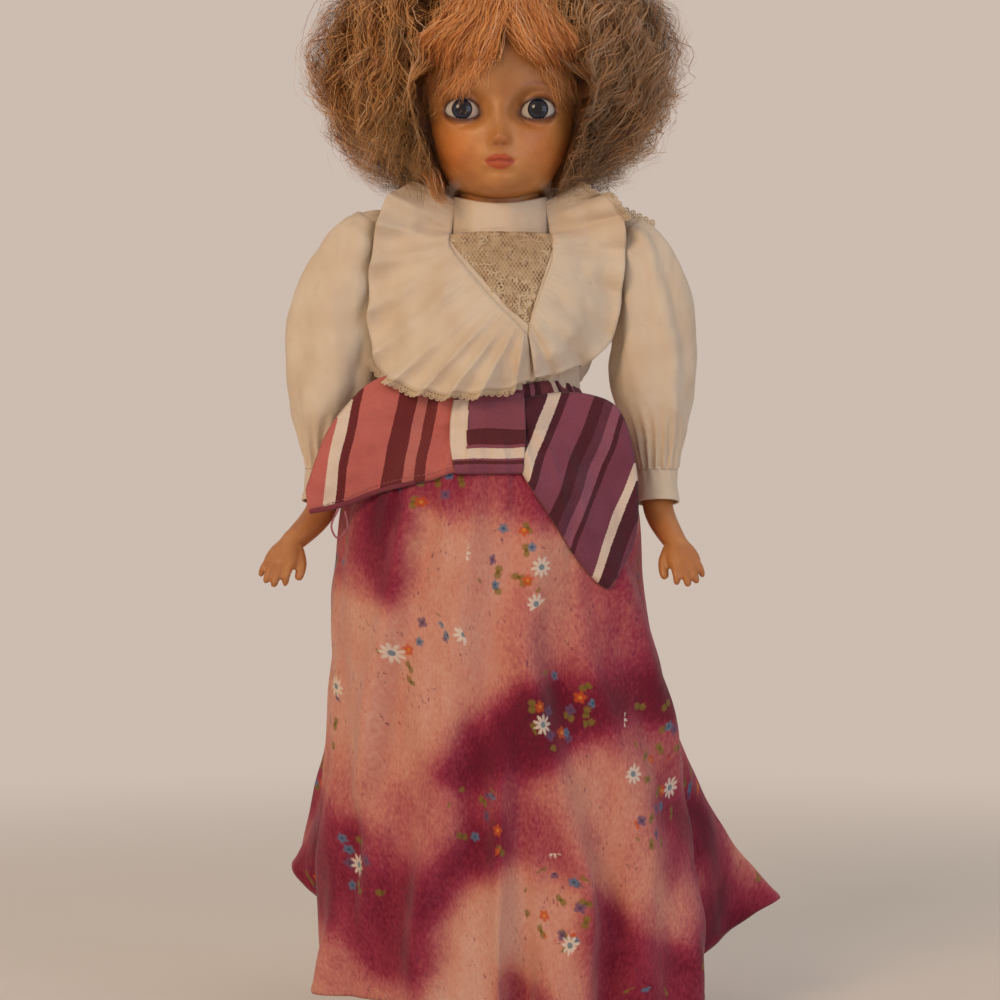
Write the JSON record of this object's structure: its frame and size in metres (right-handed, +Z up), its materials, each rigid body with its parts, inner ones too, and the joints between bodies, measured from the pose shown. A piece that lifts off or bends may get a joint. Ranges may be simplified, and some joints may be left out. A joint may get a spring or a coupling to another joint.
{
  "type": "soft body doll",
  "caption": "Dressed play doll: stuffed cloth body, vinyl head, arms and legs strung on elastic, wavy hair, puff-sleeved blouse, long flared skirt and striped bow sash.",
  "frame": {"origin": "on the floor under the middle of the standing doll's box", "axes": "+Z up along the standing doll, -Y the way the face looks, +X to the doll's left hand, which is the picture's right"},
  "size_m": [0.2204, 0.133, 0.4472],
  "materials": {
    "vinyl": "soft flesh-tan vinyl, faint sheen, blush on the cheeks",
    "eye": "glossy white with a grey-blue iris",
    "hair": "frizzed honey-blonde synthetic hair",
    "muslin": "plain weave cotton",
    "filling": "loose fibre filling",
    "cord": "covered elastic cord",
    "nylon": "moulded nylon",
    "blouse": "cream cotton voile",
    "lace": "open cotton lace",
    "skirt": "cotton shaded from pale pink to burgundy with small flowers",
    "stripes": "woven cotton with rose, burgundy and white stripes",
    "button": "pearl white plastic"
  },
  "bodies": {
    "torso": {"torso_cover": "muslin", "torso_stuffing": "filling", "neck_drawcord": "cord", "arm_elastic": "cord", "leg_elastic": "cord", "left_shoulder_cup": "nylon", "right_shoulder_cup": "nylon", "left_hip_cup": "nylon", "right_hip_cup": "nylon", "blouse_front": "blouse", "blouse_back_left": "blouse", "blouse_back_right": "blouse", "lace_yoke": "lace", "collar_band": "blouse", "back_button_top": "button", "back_button_middle": "button", "back_button_bottom": "button", "left_ruffle": "blouse", "right_ruffle": "blouse", "shoulder_lace": "lace", "skirt_waistband": "skirt", "sash_belt": "stripes", "bow_knot": "stripes", "bow_left_wing": "stripes", "bow_right_wing": "stripes", "sash_snap": "button"},
    "head": {"head": "vinyl", "left_eye": "eye", "right_eye": "eye", "hair_crown": "hair", "hair_fringe": "hair", "hair_left": "hair", "hair_right": "hair", "hair_back": "hair"},
    "left_arm": {"left_arm": "vinyl", "left_arm_washer": "nylon", "left_sleeve": "blouse", "left_cuff": "blouse"},
    "right_arm": {"right_arm": "vinyl", "right_arm_washer": "nylon", "right_sleeve": "blouse", "right_cuff": "blouse"},
    "lap": {"skirt": "skirt"},
    "left_leg": {"left_leg": "vinyl", "left_leg_washer": "nylon"},
    "right_leg": {"right_leg": "vinyl", "right_leg_washer": "nylon"}
  },
  "joints": [
    {"name": "neck_turn", "type": "hinge", "parent": "torso", "child": "head", "pos_m": [-0.01092, -0.00041, 0.3365], "axis": [0, 0, 1], "range_deg": [-80, 80]},
    {"name": "left_shoulder", "type": "hinge", "parent": "torso", "child": "left_arm", "pos_m": [-0.01092, -0.00041, 0.32], "axis": [-1, 0, 0], "range_deg": [-45, 100], "deforming": ["bow_left_wing"]},
    {"name": "right_shoulder", "type": "hinge", "parent": "torso", "child": "right_arm", "pos_m": [-0.01092, -0.00041, 0.32], "axis": [-1, 0, 0], "range_deg": [-45, 100]},
    {"name": "sit", "type": "hinge", "parent": "torso", "child": "lap", "pos_m": [-0.01092, -0.00041, 0.208], "axis": [-1, 0, 0], "range_deg": [0, 85], "deforming": ["skirt", "bow_right_wing"]},
    {"name": "left_leg_swing", "type": "hinge", "parent": "lap", "child": "left_leg", "pos_m": [-0.01092, -0.00041, 0.208], "axis": [-1, 0, 0], "range_deg": [-8, 8]},
    {"name": "right_leg_swing", "type": "hinge", "parent": "lap", "child": "right_leg", "pos_m": [-0.01092, -0.00041, 0.208], "axis": [-1, 0, 0], "range_deg": [-8, 8]}
  ]
}
